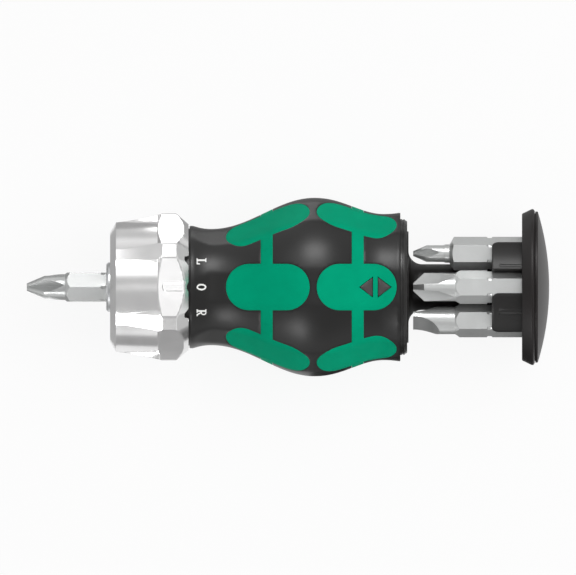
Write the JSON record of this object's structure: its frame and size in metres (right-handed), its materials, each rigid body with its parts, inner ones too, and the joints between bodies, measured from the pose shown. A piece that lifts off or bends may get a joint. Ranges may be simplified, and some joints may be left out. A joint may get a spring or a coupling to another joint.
{
  "type": "ratcheting screwdriver",
  "caption": "Stubby ratcheting screwdriver with a fluted selector ring, a waisted soft-grip handle and a pop-out magazine of spare bits behind it.",
  "frame": {"origin": "centre of the bit holder's mouth, on the drive axis", "axes": "the bit points along -X and the end cap along +X; +Z is the side with the arrow keys and the marks; +Y is the side of the L mark"},
  "size_m": [0.1141, 0.039, 0.038],
  "materials": {
    "handle_plastic": "satin black",
    "grip_rubber": "soft matt green",
    "bezel_plastic": "semi-gloss black",
    "magazine_plastic": "satin black",
    "cap_plastic": "satin dark grey",
    "ring_chrome": "satin chrome",
    "holder_steel": "turned",
    "bit_steel": "blasted satin",
    "housing_zinc": "die cast",
    "dark_steel": "black oxide",
    "pin_steel": "ground",
    "spring_steel": "drawn wire",
    "bronze": "sintered bronze",
    "magnet": "nickel plated"
  },
  "bodies": {
    "handle": {"handle_shell": "handle_plastic", "front_grip_inlay": "grip_rubber", "rear_grip_inlay": "grip_rubber", "bezel_ring": "bezel_plastic", "ratchet_housing": "housing_zinc", "housing_cover": "housing_zinc", "housing_screws": "dark_steel", "bearing_bush": "bronze", "thrust_washer": "bronze", "pawl_pin": "pin_steel", "click_ball": "pin_steel", "click_spring": "spring_steel", "ring_wire": "spring_steel", "rocker_pin": "pin_steel", "rocker_spring": "spring_steel", "guide_rod": "pin_steel", "popout_spring": "spring_steel"},
    "selector": {"selector_ring": "ring_chrome", "tipping_ball": "pin_steel", "tipping_spring": "spring_steel"},
    "spindle": {"bit_holder": "holder_steel", "bit_magnet": "magnet", "shaft_circlip": "dark_steel"},
    "driver_bit": {"driver_bit": "bit_steel"},
    "pawl": {"pawl": "dark_steel"},
    "rocker": {"release_rocker": "magazine_plastic"},
    "magazine": {"magazine_core": "magazine_plastic", "bit_clips": "magazine_plastic", "end_cap": "cap_plastic", "cap_cover": "cap_plastic", "cap_screw": "pin_steel"},
    "small_cross_bit": {"bit_small_cross": "bit_steel"},
    "large_cross_bit": {"bit_large_cross": "bit_steel"},
    "slotted_bit": {"bit_slotted": "bit_steel"},
    "fine_cross_bit": {"bit_fine_cross": "bit_steel"},
    "star_bit": {"bit_star": "bit_steel"}
  },
  "joints": [
    {"name": "spindle_turn", "type": "hinge", "parent": "handle", "child": "spindle", "pos_m": [0, 0, 0], "axis": [-1, 0, 0], "continuous": true},
    {"name": "selector_turn", "type": "hinge", "parent": "handle", "child": "selector", "pos_m": [0, 0, 0], "axis": [-1, 0, 0], "range_deg": [-24, 24]},
    {"name": "pawl_tilt", "type": "hinge", "parent": "handle", "child": "pawl", "pos_m": [0.0099, 0, -0.0086], "axis": [-1, 0, 0], "range_deg": [-8, 8]},
    {"name": "magazine_slide", "type": "slide", "parent": "handle", "child": "magazine", "axis": [1, 0, 0], "range_m": [-0.0265, 0], "stiffness_N_per_m": 250, "springref_m": 0.006, "deforming": ["popout_spring"]},
    {"name": "rocker_press", "type": "hinge", "parent": "handle", "child": "rocker", "pos_m": [0.05, 0, 0.015], "axis": [0, 1, 0], "range_deg": [0, 4], "stiffness_Nm_per_rad": 0.12, "springref_deg": -2.86, "deforming": ["rocker_spring"]},
    {"name": "driver_bit_pull", "type": "slide", "parent": "spindle", "child": "driver_bit", "axis": [-1, 0, 0], "range_m": [0, 0.009]},
    {"name": "small_cross_tilt", "type": "hinge", "parent": "magazine", "child": "small_cross_bit", "pos_m": [0.092, 0.01006, 0.00581], "axis": [0, 0.5, -0.866], "range_deg": [0, 20], "deforming": ["bit_clips"]},
    {"name": "large_cross_tilt", "type": "hinge", "parent": "magazine", "child": "large_cross_bit", "pos_m": [0.092, 0, 0.01162], "axis": [0, 1, 0], "range_deg": [0, 20], "deforming": ["bit_clips"]},
    {"name": "slotted_tilt", "type": "hinge", "parent": "magazine", "child": "slotted_bit", "pos_m": [0.092, -0.01006, 0.00581], "axis": [0, 0.5, 0.866], "range_deg": [0, 20], "deforming": ["bit_clips"]},
    {"name": "fine_cross_tilt", "type": "hinge", "parent": "magazine", "child": "fine_cross_bit", "pos_m": [0.092, 0.01006, -0.00581], "axis": [0, -0.5, -0.866], "range_deg": [0, 20], "deforming": ["bit_clips"]},
    {"name": "star_tilt", "type": "hinge", "parent": "magazine", "child": "star_bit", "pos_m": [0.092, -0.01006, -0.00581], "axis": [0, -0.5, 0.866], "range_deg": [0, 20], "deforming": ["bit_clips"]}
  ],
  "couplings": [
    {"joint": "pawl_tilt", "follows": "selector_turn", "ratio": 0.33333}
  ]
}
